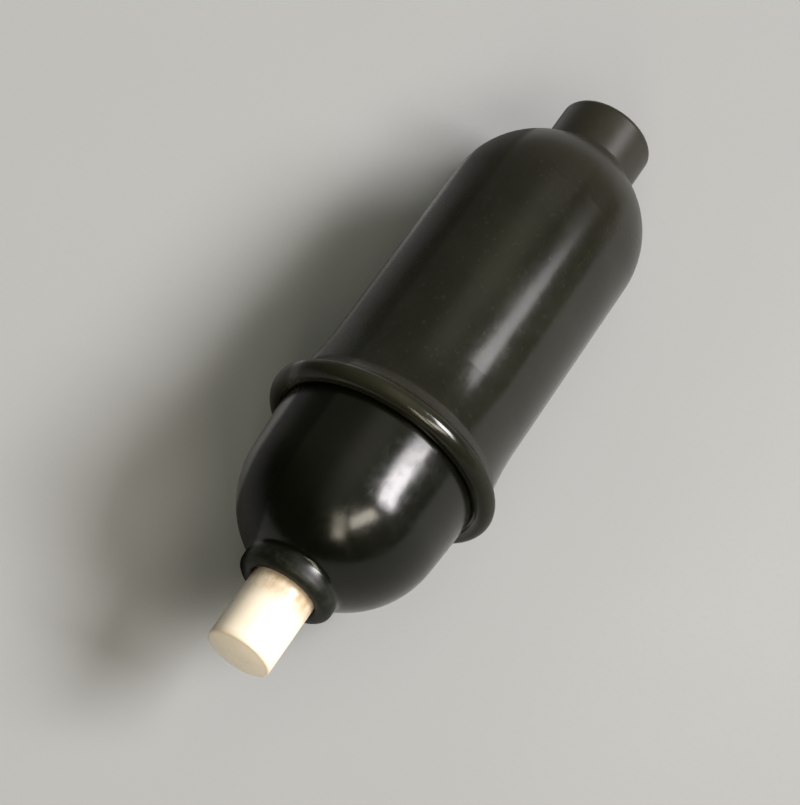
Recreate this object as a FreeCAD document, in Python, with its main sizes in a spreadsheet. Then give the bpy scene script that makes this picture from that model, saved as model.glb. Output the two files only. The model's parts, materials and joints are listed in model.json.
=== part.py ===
"""Hand-held electric push-button release with a moulded, screw-capped handle.

Lengths are in millimetres. Every piece is drawn upright on the axis of the release: local z = 0 is the
middle plane of the bead, the button points up (+z) and the cord inlet points down. One placement then
lays all pieces on their side, at rest on z = 0, with the button towards -Y and the origin under the
middle of the bounding box.
"""
import FreeCAD, Part
import math
import os
import re
import Sketcher

# Driving sizes: name, value in mm (or a count, or degrees where the name says so), meaning.
# The radii build up outwards from the spring: well, hub, lugs and their screws, spigot, socket, dome, barrel.
SIZES = [
    ("barrel_step", 0.25, "how far the barrel and its round shoulder stand out past the cap"),
    ("barrel_length", 38.0, "from the bead's middle plane to the start of the shoulder"),
    ("ledge_width", 0.6, "ledge in the handle that carries the contact base"),
    ("neck_radius", 6.3, "outside of the cord neck"),
    ("neck_reach", 18.2, "from the start of the shoulder to the end of the cord neck"),
    ("neck_fillet", 1.0, "hollow round where the cord neck leaves the shoulder"),
    ("neck_edge", 0.8, "rounded outer edge of the cord neck's end"),
    ("cord_bore_radius", 3.5, "hole for the cord"),
    ("cord_bore_edge", 0.6, "rounded mouth of the cord hole"),
    ("bead_height", 1.85, "how far the bead stands out round the cap's groove"),
    ("bead_half", 1.35, "radius of the bead's own round section"),
    ("bead_fillet", 2.5, "hollow round behind the bead"),
    ("flare_length", 10.0, "start of the barrel's flare below the bead's middle plane"),
    ("flare_radius", 41.0, "long hollow curve of that flare"),
    ("seat_height", 0.9, "cap seat above the bead's middle plane"),
    ("seat_groove", 0.3, "width of the dark groove between cap and bead"),
    ("thread_clearance", 0.08, "radial clearance of the spigot in its socket"),
    ("thread_pitch", 1.5, "advance of the cap per turn"),
    ("thread_turns", 3.5, "turns that free the cap, which set the spigot's length"),
    ("lug_radius", 2.3, "half width of the lugs that take the base screws"),
    ("lug_gap", 0.2, "air between the lugs and the hub of the contact base"),
    ("lug_length", 10.0, "depth of those lugs below the ledge"),
    ("lug_bite", 0.6, "how far the lugs run into the wall"),
    ("cap_side", 7.2, "tapered side of the cap above its seat"),
    ("cap_spread", 0.5, "how much wider the cap is at its seat than across its dome"),
    ("cap_edge", 0.4, "rounded lower edge of the cap"),
    ("screw_room", 0.35, "air between the washers of the base screws and the spigot's bore"),
    ("spigot_wall", 1.72, "wall of the screwed spigot"),
    ("spigot_gap", 0.25, "air between the spigot's end and the contact base"),
    ("spigot_chamfer", 0.4, "lead on the spigot's end"),
    ("dome_step", 1.2, "how much wider the dome's hollow is than the spigot's bore"),
    ("dome_wall", 2.35, "wall of the dome"),
    ("lip_face", 0.19, "flat face between the two rounded edges of the button guide's lip"),
    ("lip_rise", 1.05, "how far the face of the lip stands above the dome"),
    ("lip_fillet", 0.8, "hollow round where the lip leaves the dome"),
    ("lip_edge", 1.1, "rounded outer edge of the lip"),
    ("mouth_edge", 0.7, "rounded mouth of the button guide"),
    ("guide_wall", 2.14, "wall of the button guide inside the cap"),
    ("guide_clearance", 0.06, "radial clearance of the button in its guide"),
    ("stop_height", 7.0, "end of the guide, which stops the button's flange"),
    ("button_radius", 4.1, "outside of the button"),
    ("button_reach", 9.1, "button's rim above the lip, at rest"),
    ("button_crown", 0.6, "rise of the button's crowned face"),
    ("button_edge", 0.3, "rounded rim of the button"),
    ("flange_step", 2.0, "how far the flange that keeps the button in the cap stands out"),
    ("flange_thickness", 2.0, "thickness of that flange"),
    ("press_travel", 3.0, "travel of the button"),
    ("disc_margin", 0.45, "how far the bridging contact disc reaches past the contact points"),
    ("disc_thickness", 0.6, "thickness of the disc"),
    ("contact_air", 0.05, "air left under the disc at full travel"),
    ("base_thickness", 3.0, "contact base"),
    ("base_clearance", 0.2, "radial clearance of the base in the socket"),
    ("hub_wall", 1.2, "wall of the spring well under the base"),
    ("hub_floor", 1.0, "floor of the spring well"),
    ("well_depth", 4.0, "depth of the spring well below the base's top"),
    ("well_clearance", 0.45, "radial clearance of the spring in its well"),
    ("spring_radius", 2.5, "middle radius of the return spring's coil"),
    ("spring_wire", 0.5, "diameter of the spring wire"),
    ("spring_turns", 7, "turns of the coil"),
    ("spring_seat", 0.02, "air at each end of the spring"),
    ("strip_thickness", 0.5, "brass of the contact strips"),
    ("strip_width", 3.5, "width of a contact strip"),
    ("strip_offset", 5.25, "middle line of a strip from the axis"),
    ("strip_bend", 0.3, "inside radius of the strip's bends"),
    ("strip_riser", 1.75, "far face of the strip's riser from the middle plane"),
    ("foot_length", 3.9, "strip foot beyond the riser"),
    ("tongue_length", 3.25, "strip tongue beyond the riser"),
    ("channel_clearance", 0.05, "play of a strip in its channel"),
    ("point_radius", 0.9, "head of a silver contact point"),
    ("point_height", 0.5, "height of that head above its strip"),
    ("point_shank", 0.5, "shank radius of a contact point"),
    ("point_tail", 0.25, "thickness of the riveted tail"),
    ("fit_clearance", 0.02, "radial clearance of a screw or insert in its hole"),
    ("hole_clearance", 0.12, "radial clearance of a screw in a plain hole"),
    ("terminal_place", 3.85, "terminal screw from the middle plane"),
    ("terminal_radius", 1.0, "shank radius of the terminal screws"),
    ("terminal_length", 3.2, "length under the head"),
    ("terminal_head", 1.6, "head radius of the terminal screws"),
    ("terminal_head_height", 1.2, "head height"),
    ("terminal_washer", 1.75, "radius of the wire washers"),
    ("washer_thickness", 0.4, "thickness of every washer"),
    ("insert_radius", 1.9, "brass inserts moulded into the base"),
    ("base_screw_angle", 45.0, "direction of the base screws in degrees"),
    ("base_screw_radius", 1.1, "shank radius of the base screws"),
    ("base_screw_length", 9.5, "length under the head"),
    ("base_screw_head", 1.75, "head radius of the base screws"),
    ("base_screw_head_height", 1.2, "head height"),
    ("base_washer", 1.95, "radius of the washers under them"),
    ("pilot_depth", 8.5, "depth of the screw holes in the lugs"),
    ("wire_hole_radius", 1.2, "holes that lead the two wires up through the base"),
    ("wire_hole_x", 1.9, "wire hole from the middle plane"),
    ("wire_hole_y", 6.9, "wire hole across the middle plane"),
    ("disc_screw_radius", 1.0, "shank radius of the screw that holds the disc"),
    ("disc_screw_length", 5.5, "length under its head"),
    ("disc_screw_head", 1.6, "head radius"),
    ("disc_screw_head_height", 1.1, "head height"),
    ("washer_grip", 0.05, "radial play of the spring's last turn round the lock washer"),
    ("slot_width", 0.4, "screwdriver slot"),
    ("slot_depth", 0.5, "depth of that slot"),
]

# Sizes that follow from the driving ones
DERIVED = [
    ("well_radius", "spring_radius + spring_wire / 2 + well_clearance"),
    ("hub_radius", "well_radius + hub_wall"),
    ("base_screw_circle", "hub_radius + lug_radius + lug_gap"),
    ("cavity_radius", "base_screw_circle + base_washer + screw_room"),
    ("spigot_radius", "cavity_radius + spigot_wall"),
    ("thread_radius", "spigot_radius + thread_clearance"),
    ("chamber_radius", "thread_radius - ledge_width"),
    ("dome_inside", "cavity_radius + dome_step"),
    ("cap_radius", "dome_inside + dome_wall"),
    ("barrel_radius", "cap_radius + barrel_step"),
    ("cap_foot", "cap_radius + cap_spread"),
    ("cap_lean", "acos(cap_radius / sqrt(pow(cap_foot; 2) + pow(cap_side - cap_edge; 2)))"
                 " - atan((cap_side - cap_edge) / cap_foot)"),
    ("recess_radius", "cap_foot + seat_groove"),
    ("bead_radius", "recess_radius + bead_height"),
    ("bead_centre", "bead_radius - bead_half"),
    ("flare_x", "barrel_radius + flare_radius - bead_centre"),
    ("flare_span", "sqrt(pow(flare_x; 2) + pow(flare_length; 2))"),
    ("root_reach", "bead_half + bead_fillet"),
    ("root_along", "(pow(root_reach; 2) - pow(flare_radius - bead_fillet; 2) + pow(flare_span; 2))"
                   " / (2 * flare_span)"),
    ("root_across", "sqrt(pow(root_reach; 2) - pow(root_along; 2))"),
    ("root_x", "(root_along * flare_x - root_across * flare_length) / flare_span"),
    ("root_drop", "(root_along * flare_length + root_across * flare_x) / flare_span"),
    ("spigot_end", "seat_height - thread_pitch * thread_turns - spigot_chamfer"),
    ("base_top", "spigot_end - spigot_gap"),
    ("ledge_depth", "base_thickness - base_top"),
    ("dome_centre", "seat_height + cap_side"),
    ("lip_level", "dome_centre + cap_radius + lip_rise"),
    ("guide_bore", "button_radius + guide_clearance"),
    ("guide_radius", "guide_bore + guide_wall"),
    ("lip_radius", "guide_bore + mouth_edge + lip_face + lip_edge"),
    ("rim_level", "lip_level + button_reach"),
    ("flange_radius", "button_radius + flange_step"),
    ("flange_level", "stop_height - flange_thickness"),
    ("disc_radius", "strip_offset + point_radius + disc_margin"),
    ("disc_level", "flange_level - disc_thickness"),
    ("point_level", "disc_level - press_travel - contact_air"),
    ("tongue_top", "point_level - point_height"),
    ("foot_level", "base_top - strip_thickness"),
    ("disc_washer", "spring_radius - spring_wire / 2 - washer_grip"),
    ("crown_radius", "(pow(button_radius; 2) + pow(button_crown; 2)) / (2 * button_crown)"),
    ("lay_angle", "acos((barrel_radius - bead_half) / sqrt(pow(bead_centre; 2) + pow(barrel_length; 2)))"
                  " - atan(barrel_length / bead_centre)"),
    ("lay_height", "bead_centre * cos(lay_angle) + bead_half"),
    ("front_reach", "(rim_level + button_crown - crown_radius) * cos(lay_angle) + crown_radius"),
    ("rear_reach", "(barrel_length + neck_reach - neck_edge) * cos(lay_angle)"
                   " + (neck_radius - neck_edge) * sin(lay_angle) + neck_edge"),
    ("lay_shift", "(front_reach - rear_reach) / 2"),
]

PLANES = {"XY": "XY_Plane", "XZ": "XZ_Plane", "YZ": "YZ_Plane"}

doc = FreeCAD.newDocument("push_button_release")
sheet = doc.addObject("Spreadsheet::Sheet", "sizes")
pieces = []


def fill_sheet():
    """Writes every size into the sheet under its alias, then the sizes that follow from them."""
    row = 1
    for alias, size, note in SIZES:
        sheet.set(f"A{row}", alias)
        sheet.set(f"B{row}", str(size))
        sheet.set(f"C{row}", note)
        sheet.setAlias(f"B{row}", alias)
        row += 1
    for alias, formula in DERIVED:
        sheet.set(f"A{row}", alias)
        sheet.set(f"B{row}", "=" + formula)
        sheet.setAlias(f"B{row}", alias)
        row += 1
    doc.recompute()


def bound(formula):
    """The formula with each size name pointing at the sheet."""
    return re.sub(r"[a-z][a-z_]+\b(?!\()", r"sizes.\g<0>", str(formula))


def value(formula):
    """The formula's value now, as a plain number."""
    result = sheet.evalExpression(bound(formula))
    return float(getattr(result, "Value", result))


def lay(piece, label):
    """Names a finished piece and lays it on its side with the others."""
    piece.Label = label
    piece.Placement = FreeCAD.Placement(FreeCAD.Vector(0, 0, 0), FreeCAD.Rotation(FreeCAD.Vector(1, 0, 0), 90))
    piece.setExpression("Placement.Rotation.Angle", "90 deg - sizes.lay_angle")
    piece.setExpression("Placement.Base.y", "sizes.lay_shift")
    piece.setExpression("Placement.Base.z", "sizes.lay_height")
    pieces.append(piece)
    return piece


def new_body(label):
    body = doc.addObject("PartDesign::Body", label)
    return lay(body, label)


def new_sketch(body, name, plane, level="0"):
    """A sketch on one of the body's origin planes, moved along the plane's normal to a level."""
    sketch = body.newObject("Sketcher::SketchObject", name)
    support = [f for f in body.Origin.OriginFeatures if f.Role == PLANES[plane]][0]
    sketch.AttachmentSupport = [(support, "")]
    sketch.MapMode = "FlatFace"
    sketch.setExpression("AttachmentOffset.Base.z", bound(level))
    return sketch


def drive(sketch, kind, formula, *where):
    """Adds a dimension to the sketch and binds it to the formula."""
    number = sketch.addConstraint(Sketcher.Constraint(kind, *where, value(formula)))
    sketch.setExpression(f"Constraints[{number}]", bound(formula))


def place_point(sketch, geometry, point, x, y):
    """Fixes a point of the sketch at (x, y), each a formula; -1 is the sketch's origin, -2 its upright axis."""
    if str(x) == "0":
        sketch.addConstraint(Sketcher.Constraint("PointOnObject", geometry, point, -2))
    else:
        drive(sketch, "DistanceX", x, -1, 1, geometry, point)
    drive(sketch, "DistanceY", y, -1, 1, geometry, point)


def arc_between(start, end, radius):
    """The shorter arc from start to end; a positive radius turns left, a negative one right."""
    a = FreeCAD.Vector(*start, 0)
    b = FreeCAD.Vector(*end, 0)
    chord = b - a
    half = chord.Length / 2
    size = max(abs(radius), half)
    sagitta = size - math.sqrt(size * size - half * half)
    side = FreeCAD.Vector(chord.y, -chord.x, 0).normalize()
    middle = (a + b) / 2 + side * math.copysign(sagitta, radius)
    return Part.Arc(a, middle, b)


def outline(sketch, corners):
    """A closed outline. Each corner is (x, y), or (x, y, radius) where an arc leads to the next corner.

    A positive radius turns left on the way to the next corner, and a negative one turns right.
    """
    spots = [(value(c[0]), value(c[1])) for c in corners]
    count = len(corners)
    for i, corner in enumerate(corners):
        start = spots[i]
        end = spots[(i + 1) % count]
        if len(corner) == 3:
            sketch.addGeometry(arc_between(start, end, value(corner[2])))
        else:
            sketch.addGeometry(Part.LineSegment(FreeCAD.Vector(*start, 0), FreeCAD.Vector(*end, 0)))
    for i, corner in enumerate(corners):
        turns_right = len(corner) == 3 and value(corner[2]) < 0
        first = 2 if turns_right else 1
        place_point(sketch, i, first, corner[0], corner[1])
        after = (i + 1) % count
        follows = corners[after]
        follows_right = len(follows) == 3 and value(follows[2]) < 0
        sketch.addConstraint(
            Sketcher.Constraint("Coincident", i, 3 - first, after, 2 if follows_right else 1)
        )
        if len(corner) == 3:
            drive(sketch, "Radius", f"abs({corner[2]})", i)


def circles(sketch, radius, centres):
    """Equal circles at the centres, each a pair of formulas."""
    for i, (x, y) in enumerate(centres):
        middle = FreeCAD.Vector(value(x), value(y), 0)
        sketch.addGeometry(Part.Circle(middle, FreeCAD.Vector(0, 0, 1), value(radius)))
        if (x, y) == ("0", "0"):
            sketch.addConstraint(Sketcher.Constraint("Coincident", i, 3, -1, 1))
        else:
            place_point(sketch, i, 3, x, y)
        drive(sketch, "Radius", radius, i)


def revolve(body, name, corners):
    """A full turn of an outline of (radius, height) corners about the axis."""
    sketch = new_sketch(body, name + "_profile", "XZ")
    outline(sketch, corners)
    turn = body.newObject("PartDesign::Revolution", name)
    turn.Profile = sketch
    turn.ReferenceAxis = (sketch, ["V_Axis"])
    turn.Angle = 360
    doc.recompute()
    return turn


def pad(body, name, sketch, length, down=False, middle=False):
    feature = body.newObject("PartDesign::Pad", name)
    feature.Profile = sketch
    feature.setExpression("Length", bound(length))
    feature.Reversed = down
    feature.Midplane = middle
    doc.recompute()
    return feature


def pocket(body, name, sketch, depth, up=False):
    """Cuts downwards from the sketch, or upwards, and makes sure that it cut something."""
    doc.recompute()
    before = body.Shape.Volume
    feature = body.newObject("PartDesign::Pocket", name)
    feature.Profile = sketch
    feature.setExpression("Length", bound(depth))
    feature.Reversed = up
    doc.recompute()
    if not body.Shape.Volume < before:
        raise RuntimeError(f"{name} cuts nothing")
    return feature


def drill(body, name, radius, centres, level, depth, up=False):
    sketch = new_sketch(body, name + "_circles", "XY", level)
    circles(sketch, radius, centres)
    return pocket(body, name, sketch, depth, up)


def half_turn(x, y):
    """A place and the one half a turn about the axis from it."""
    return [(x, y), (f"-({x})", f"-({y})")]


def make_handle():
    """Barrel with bead, cap seat, socket, ledge, wiring chamber, shoulder and bored cord neck."""
    body = new_body("handle_body")
    bead_share = "bead_half / root_reach"
    flare_share = "flare_radius / (flare_radius - bead_fillet)"
    hollow_radius = "(neck_radius + neck_fillet)"
    hollow_drop = f"sqrt(pow(barrel_radius + neck_fillet; 2) - pow({hollow_radius}; 2))"
    hollow_share = "barrel_radius / (barrel_radius + neck_fillet)"
    neck_end = "-(barrel_length + neck_reach)"
    revolve(body, "handle_turning", [
        ("thread_radius", "seat_height"),
        ("recess_radius", "seat_height"),
        ("recess_radius", "sqrt(pow(bead_half; 2) - pow(bead_centre - recess_radius; 2))", "-bead_half"),
        ("bead_radius", "0", "-bead_half"),
        (f"bead_centre + root_x * {bead_share}", f"-root_drop * {bead_share}", "bead_fillet"),
        (f"bead_centre + flare_x + (root_x - flare_x) * {flare_share}",
         f"-flare_length + (flare_length - root_drop) * {flare_share}", "flare_radius"),
        ("barrel_radius", "-flare_length"),
        ("barrel_radius", "-barrel_length", "-barrel_radius"),
        (f"{hollow_radius} * {hollow_share}", f"-barrel_length - {hollow_drop} * {hollow_share}",
         "neck_fillet"),
        ("neck_radius", f"-barrel_length - {hollow_drop}"),
        ("neck_radius", f"{neck_end} + neck_edge", "-neck_edge"),
        ("neck_radius - neck_edge", neck_end),
        ("cord_bore_radius + cord_bore_edge", neck_end, "-cord_bore_edge"),
        ("cord_bore_radius", f"{neck_end} + cord_bore_edge"),
        ("cord_bore_radius", "-barrel_length - sqrt(pow(chamber_radius; 2) - pow(cord_bore_radius; 2))",
         "chamber_radius"),
        ("chamber_radius", "-barrel_length"),
        ("chamber_radius", "-ledge_depth"),
        ("thread_radius", "-ledge_depth"),
    ])
    sketch = new_sketch(body, "lug_outline", "XY", "-ledge_depth")
    sketch.setExpression("AttachmentOffset.Rotation.Angle", bound("base_screw_angle"))
    reach = "sqrt(pow(chamber_radius + lug_bite; 2) - pow(lug_radius; 2))"
    outline(sketch, [
        (reach, "-lug_radius"),
        (reach, "lug_radius"),
        ("base_screw_circle", "lug_radius", "lug_radius"),
        ("base_screw_circle - lug_radius", "0", "lug_radius"),
        ("base_screw_circle", "-lug_radius"),
    ])
    lug = pad(body, "lug", sketch, "lug_length", down=True)
    pair = body.newObject("PartDesign::PolarPattern", "lug_pair")
    pair.Originals = [lug]
    pair.Axis = (sketch, ["N_Axis"])
    pair.Angle = 360
    pair.Occurrences = 2
    body.Tip = pair
    doc.recompute()
    drill(body, "lug_holes", "base_screw_radius + fit_clearance", base_screw_places(), "-ledge_depth",
          "pilot_depth")
    return body


def base_screw_places():
    return half_turn("base_screw_circle * cos(base_screw_angle)",
                     "base_screw_circle * sin(base_screw_angle)")


def terminal_places():
    return half_turn("strip_offset", "-terminal_place")


def make_cap():
    """Domed cap with its screwed spigot, inner button guide and rounded lip."""
    body = new_body("front_cap")
    root_radius = "(lip_radius + lip_fillet)"
    root_rise = f"sqrt(pow(cap_radius + lip_fillet; 2) - pow({root_radius}; 2))"
    root_share = "cap_radius / (cap_radius + lip_fillet)"
    revolve(body, "cap_turning", [
        ("cavity_radius", "spigot_end"),
        ("spigot_radius - spigot_chamfer", "spigot_end"),
        ("spigot_radius", "spigot_end + spigot_chamfer"),
        ("spigot_radius", "seat_height"),
        ("cap_foot - cap_edge", "seat_height", "cap_edge"),
        ("cap_foot", "seat_height + cap_edge"),
        ("cap_radius * cos(cap_lean)", "dome_centre + cap_radius * sin(cap_lean)", "cap_radius"),
        (f"{root_radius} * {root_share}", f"dome_centre + {root_rise} * {root_share}", "-lip_fillet"),
        ("lip_radius", f"dome_centre + {root_rise}"),
        ("lip_radius", "lip_level - lip_edge", "lip_edge"),
        ("lip_radius - lip_edge", "lip_level"),
        ("guide_bore + mouth_edge", "lip_level", "mouth_edge"),
        ("guide_bore", "lip_level - mouth_edge"),
        ("guide_bore", "stop_height"),
        ("guide_radius", "stop_height"),
        ("guide_radius", "dome_centre + sqrt(pow(dome_inside; 2) - pow(guide_radius; 2))", "-dome_inside"),
        ("cavity_radius", "dome_centre + sqrt(pow(dome_inside; 2) - pow(cavity_radius; 2))"),
    ])
    return body


def make_button():
    """Button with its crowned face and retaining flange."""
    body = new_body("push_button")
    edge_radius = "(button_radius - button_edge)"
    edge_rise = f"sqrt(pow(crown_radius - button_edge; 2) - pow({edge_radius}; 2))"
    crown_centre = "(rim_level + button_crown - crown_radius)"
    crown_share = "crown_radius / (crown_radius - button_edge)"
    revolve(body, "button_turning", [
        ("0", "flange_level"),
        ("flange_radius", "flange_level"),
        ("flange_radius", "stop_height"),
        ("button_radius", "stop_height"),
        ("button_radius", f"{crown_centre} + {edge_rise}", "button_edge"),
        (f"{edge_radius} * {crown_share}", f"{crown_centre} + {edge_rise} * {crown_share}", "crown_radius"),
        ("0", "rim_level + button_crown"),
    ])
    drill(body, "button_hole", "disc_screw_radius + fit_clearance", [("0", "0")], "flange_level",
          "disc_screw_length", up=True)
    return body


def make_disc():
    """Brass disc that bridges the two contact points when the button is pressed."""
    body = new_body("contact_disc")
    sketch = new_sketch(body, "disc_outline", "XY", "disc_level")
    circles(sketch, "disc_radius", [("0", "0")])
    pad(body, "disc_pad", sketch, "disc_thickness")
    drill(body, "disc_hole", "disc_screw_radius + hole_clearance", [("0", "0")], "flange_level",
          "disc_thickness")
    return body


def make_base():
    """Moulded contact base with its spring well, strip channels and holes."""
    body = new_body("contact_base")
    revolve(body, "base_turning", [
        ("0", "base_top - well_depth"),
        ("0", "base_top - well_depth - hub_floor"),
        ("hub_radius", "base_top - well_depth - hub_floor"),
        ("hub_radius", "-ledge_depth"),
        ("thread_radius - base_clearance", "-ledge_depth"),
        ("thread_radius - base_clearance", "base_top"),
        ("well_radius", "base_top"),
        ("well_radius", "base_top - well_depth"),
    ])
    inner = "(strip_offset - strip_width / 2 - channel_clearance)"
    outer = "(strip_offset + strip_width / 2 + channel_clearance)"
    head = "(-strip_riser + strip_thickness + channel_clearance)"
    tail = "(-strip_riser - foot_length - channel_clearance)"
    for side, name in (("1", "right_channel"), ("-1", "left_channel")):
        sketch = new_sketch(body, name + "_outline", "XY", "base_top")
        outline(sketch, [
            (f"{side} * {inner}", f"{side} * {tail}"),
            (f"{side} * {outer}", f"{side} * {tail}"),
            (f"{side} * {outer}", f"{side} * {head}"),
            (f"{side} * {inner}", f"{side} * {head}"),
        ])
        pocket(body, name, sketch, "strip_thickness")
    drill(body, "insert_holes", "insert_radius + fit_clearance", terminal_places(), "base_top",
          "base_thickness")
    drill(body, "base_screw_holes", "base_screw_radius + hole_clearance", base_screw_places(), "base_top",
          "base_thickness")
    drill(body, "wire_holes", "wire_hole_radius", half_turn("wire_hole_x", "-wire_hole_y"), "base_top",
          "base_thickness")
    return body


def make_strip(label, side):
    """Brass strip bent to a foot on the base, a riser and a tongue that carries the contact point."""
    body = new_body(label)
    sketch = new_sketch(body, label + "_section", "YZ", f"{side} * strip_offset")
    bend = "strip_bend"
    outer = "(strip_bend + strip_thickness)"
    far = "-strip_riser"
    near = "(strip_thickness - strip_riser)"
    foot_top = "(foot_level + strip_thickness)"
    tongue_low = "(tongue_top - strip_thickness)"
    corners = [
        (f"{far} - foot_length", "foot_level"),
        (f"{near} - {outer}", "foot_level", outer),
        (near, f"foot_level + {outer}"),
        (near, f"{tongue_low} - {bend}", f"-{bend}"),
        (f"{near} + {bend}", tongue_low),
        (f"{near} + tongue_length", tongue_low),
        (f"{near} + tongue_length", "tongue_top"),
        (f"{far} + {outer}", "tongue_top", outer),
        (far, f"tongue_top - {outer}"),
        (far, f"{foot_top} + {bend}", f"-{bend}"),
        (f"{far} - {bend}", foot_top),
        (f"{far} - foot_length", foot_top),
    ]
    if side == "-1":
        corners = mirrored(corners)
    outline(sketch, corners)
    pad(body, label + "_pad", sketch, "strip_width", middle=True)
    drill(body, label + "_screw_hole", "terminal_radius + hole_clearance",
          [(f"{side} * strip_offset", f"-{side} * terminal_place")], "base_top", "strip_thickness")
    drill(body, label + "_point_hole", "point_shank + fit_clearance",
          [(f"{side} * strip_offset", "0")], "tongue_top", "strip_thickness")
    return body


def mirrored(corners):
    """The same outline with y turned over, still drawn in the order that keeps its arcs' sides."""
    flipped = []
    count = len(corners)
    for i in range(count):
        corner = corners[-i]
        before = corners[(-i - 1) % count]
        spot = (f"-({corner[0]})", corner[1])
        flipped.append(spot + (before[2],) if len(before) == 3 else spot)
    return flipped


def make_point(label, side):
    """Silver contact point riveted through a strip's tongue."""
    body = new_body(label)
    tail_level = "(tongue_top - strip_thickness - point_tail)"
    sketch = new_sketch(body, label + "_shank_outline", "XY", tail_level)
    centre = [(f"{side} * strip_offset", "0")]
    circles(sketch, "point_shank", centre)
    pad(body, label + "_shank", sketch, "point_tail + strip_thickness + point_height")
    sketch = new_sketch(body, label + "_tail_outline", "XY", tail_level)
    circles(sketch, "point_radius - point_tail", centre)
    pad(body, label + "_tail", sketch, "point_tail")
    sketch = new_sketch(body, label + "_head_outline", "XY", "tongue_top")
    circles(sketch, "point_radius", centre)
    pad(body, label + "_head", sketch, "point_height")
    return body


def cylinder(name, radius, height, x, y, level):
    """An upright cylinder that stands on a level."""
    solid = doc.addObject("Part::Cylinder", name)
    solid.setExpression("Radius", bound(radius))
    solid.setExpression("Height", bound(height))
    solid.setExpression("Placement.Base.x", bound(x))
    solid.setExpression("Placement.Base.y", bound(y))
    solid.setExpression("Placement.Base.z", bound(level))
    return solid


def cut(name, base, tool):
    solid = doc.addObject("Part::Cut", name)
    solid.Base = base
    solid.Tool = tool
    return solid


def ring(name, radius, hole, x, y, level):
    """A plain washer that lies on a level."""
    outside = cylinder(name + "_blank", radius, "washer_thickness", x, y, level)
    inside = cylinder(name + "_hole", hole, "washer_thickness", x, y, level)
    return cut(name, outside, inside)


def screw(name, shank, length, head, head_height, x, y, level, down=False):
    """A slotted cheese-head screw whose head bears on a level; down hangs the head below the level."""
    shank_foot = level if down else f"{level} - {length}"
    head_foot = f"{level} - {head_height}" if down else level
    slot_foot = head_foot if down else f"{level} + {head_height} - slot_depth"
    blank = doc.addObject("Part::Fuse", name + "_blank")
    blank.Base = cylinder(name + "_shank", shank, length, x, y, shank_foot)
    blank.Tool = cylinder(name + "_head", head, head_height, x, y, head_foot)
    slot = doc.addObject("Part::Box", name + "_slot")
    slot.setExpression("Length", bound(f"2 * {head}"))
    slot.setExpression("Width", bound("slot_width"))
    slot.setExpression("Height", bound("slot_depth"))
    slot.setExpression("Placement.Base.x", bound(f"{x} - {head}"))
    slot.setExpression("Placement.Base.y", bound(f"{y} - slot_width / 2"))
    slot.setExpression("Placement.Base.z", bound(slot_foot))
    return cut(name, blank, slot)


def group(label, members):
    """Like fasteners in one piece, as separate solids."""
    bundle = doc.addObject("Part::Compound", label)
    bundle.Links = members
    return lay(bundle, label)


def make_fasteners():
    """Screws, washers and inserts, each pair half a turn apart."""
    wire_level = "(base_top + washer_thickness)"
    terminals = terminal_places()
    base_places = base_screw_places()
    group("terminal_inserts", [
        cut(f"insert_{i}",
            cylinder(f"insert_blank_{i}", "insert_radius", "base_thickness - strip_thickness", x, y,
                     "-ledge_depth"),
            cylinder(f"insert_bore_{i}", "terminal_radius + fit_clearance",
                     "base_thickness - strip_thickness", x, y, "-ledge_depth"))
        for i, (x, y) in enumerate(terminals)
    ])
    group("terminal_washers", [
        ring(f"terminal_washer_{i}", "terminal_washer", "terminal_radius + hole_clearance", x, y, "base_top")
        for i, (x, y) in enumerate(terminals)
    ])
    group("terminal_screws", [
        screw(f"terminal_screw_{i}", "terminal_radius", "terminal_length", "terminal_head",
              "terminal_head_height", x, y, wire_level)
        for i, (x, y) in enumerate(terminals)
    ])
    group("base_screw_washers", [
        ring(f"base_washer_{i}", "base_washer", "base_screw_radius + hole_clearance", x, y, "base_top")
        for i, (x, y) in enumerate(base_places)
    ])
    group("base_screws", [
        screw(f"base_screw_{i}", "base_screw_radius", "base_screw_length", "base_screw_head",
              "base_screw_head_height", x, y, wire_level)
        for i, (x, y) in enumerate(base_places)
    ])


def make_disc_fixing():
    """Lock washer and screw that hold the disc under the button."""
    washer_level = "(disc_level - washer_thickness)"
    lay(ring("disc_lock_washer", "disc_washer", "disc_screw_radius + hole_clearance", "0", "0", washer_level),
        "disc_lock_washer")
    lay(screw("disc_screw", "disc_screw_radius", "disc_screw_length", "disc_screw_head",
              "disc_screw_head_height", "0", "0", washer_level, down=True), "disc_screw")


def helix_point(angle, radius, rise, foot):
    """Point and direction of a helix at an angle, for a rise per radian from a foot level."""
    spot = FreeCAD.Vector(radius * math.cos(angle), radius * math.sin(angle), foot + rise * angle)
    heading = FreeCAD.Vector(-radius * math.sin(angle), radius * math.cos(angle), rise).normalize()
    return spot, heading


def arc_through(start, control, end):
    """The arc that leaves start towards the control point and arrives at end from it."""
    weight = (end - start).Length / 2 / (control - start).Length
    middle = (start + control * (2 * weight) + end) / (2 * (1 + weight))
    return Part.Arc(start, middle, end).toShape()


def biarc(start, start_heading, end, end_heading):
    """Two arcs that join two points and keep their headings."""
    span = end - start
    both = start_heading + end_heading
    a = 2 * (start_heading.dot(end_heading) - 1)
    b = -2 * span.dot(both)
    c = span.dot(span)
    reach = (-b - math.sqrt(b * b - 4 * a * c)) / (2 * a)
    first = start + start_heading * reach
    second = end - end_heading * reach
    joint = (first + second) / 2
    return [arc_through(start, first, joint), arc_through(joint, second, end)]


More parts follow.
